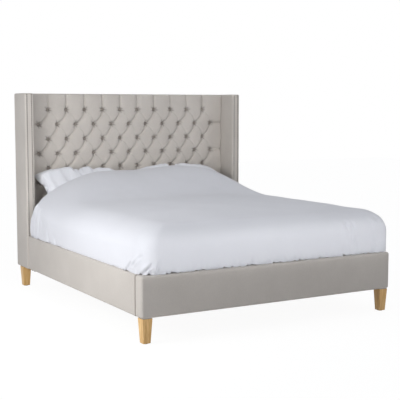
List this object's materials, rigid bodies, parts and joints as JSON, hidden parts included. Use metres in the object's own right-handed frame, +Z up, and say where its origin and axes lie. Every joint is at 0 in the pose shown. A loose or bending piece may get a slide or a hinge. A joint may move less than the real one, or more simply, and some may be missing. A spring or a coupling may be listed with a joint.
{
  "type": "wingback bed",
  "caption": "Upholstered wingback bed with a deep-buttoned headboard, nailed wings, tapered wooden legs, a sprung slat base, mattress, pillows and duvet.",
  "frame": {"origin": "on the floor, under the middle of the bed", "axes": "+X across the bed to the right of a sleeper who lies on the back, +Y towards the headboard, +Z up"},
  "size_m": [1.95, 2.24, 1.53],
  "materials": {
    "linen": "matt slubbed weave, warm grey",
    "nail_metal": "dark antiqued nickel",
    "oak": "clear lacquered oak, grain upright",
    "pine": "planed, bare",
    "plywood": "sanded, bare",
    "birch": "smooth, waxed",
    "dust_cloth": "thin black non-woven cloth",
    "zinc_steel": "zinc plated",
    "black_steel": "satin black",
    "black_plastic": "fine grained",
    "felt": "pressed felt",
    "ticking": "knitted ticking, off white",
    "pillow_cotton": "plain cotton, pale grey",
    "duvet_cotton": "plain cotton, pale grey"
  },
  "bodies": {
    "frame": {"back_cloth": "dust_cloth", "beam_hangers": "zinc_steel", "bracket_bolts": "zinc_steel", "centre_beam": "pine", "centre_leg_front": "pine", "centre_leg_rear": "pine", "cleat_screws": "zinc_steel", "foot_brackets": "zinc_steel", "footboard_cover": "linen", "footboard_frame": "pine", "footboard_front_panel": "plywood", "footboard_rear_panel": "plywood", "head_brackets": "zinc_steel", "headboard_bottom_rail": "pine", "headboard_middle_rail": "pine", "headboard_pad": "linen", "headboard_ply": "plywood", "headboard_post_left": "pine", "headboard_post_right": "pine", "headboard_stiles": "pine", "headboard_top_rail": "pine", "joint_straps": "black_steel", "leg_bolts": "zinc_steel", "leg_foot_left": "oak", "leg_foot_right": "oak", "leg_glides": "felt", "leg_head_left": "oak", "leg_head_right": "oak", "leg_plates": "zinc_steel", "rail_board_left": "pine", "rail_board_right": "pine", "rail_cleat_left": "pine", "rail_cleat_right": "pine", "rail_cover_left": "linen", "rail_cover_right": "linen", "slat_holders_centre": "black_plastic", "slat_holders_left": "black_plastic", "slat_holders_right": "black_plastic", "slats_left": "birch", "slats_right": "birch", "strap_bolts": "black_steel", "tuft_buttons": "linen", "wing_bolts": "zinc_steel", "wing_cover_left": "linen", "wing_cover_right": "linen", "wing_frame_left": "pine", "wing_frame_right": "pine", "wing_nails_left": "nail_metal", "wing_nails_right": "nail_metal"},
    "mattress": {"mattress": "ticking", "mattress_piping": "ticking"},
    "pillows": {"pillow_upper_left": "pillow_cotton", "pillow_upper_right": "pillow_cotton", "pillow_lower_left": "pillow_cotton", "pillow_lower_right": "pillow_cotton"},
    "duvet": {"duvet": "duvet_cotton"},
    "levelling_foot_front": {"levelling_foot_front": "black_plastic"},
    "levelling_foot_rear": {"levelling_foot_rear": "black_plastic"}
  },
  "joints": [
    {"name": "mattress_lift", "type": "slide", "parent": "frame", "child": "mattress", "axis": [0, 0, 1], "range_m": [0, 0.35]},
    {"name": "pillow_lift", "type": "slide", "parent": "mattress", "child": "pillows", "axis": [0, 0, 1], "range_m": [0, 0.25]},
    {"name": "duvet_lift", "type": "slide", "parent": "pillows", "child": "duvet", "axis": [0, 0, 1], "range_m": [0, 0.5]},
    {"name": "levelling_front", "type": "slide", "parent": "frame", "child": "levelling_foot_front", "axis": [0, 0, 1], "range_m": [0, 0.015]},
    {"name": "levelling_rear", "type": "slide", "parent": "frame", "child": "levelling_foot_rear", "axis": [0, 0, 1], "range_m": [0, 0.015]}
  ]
}
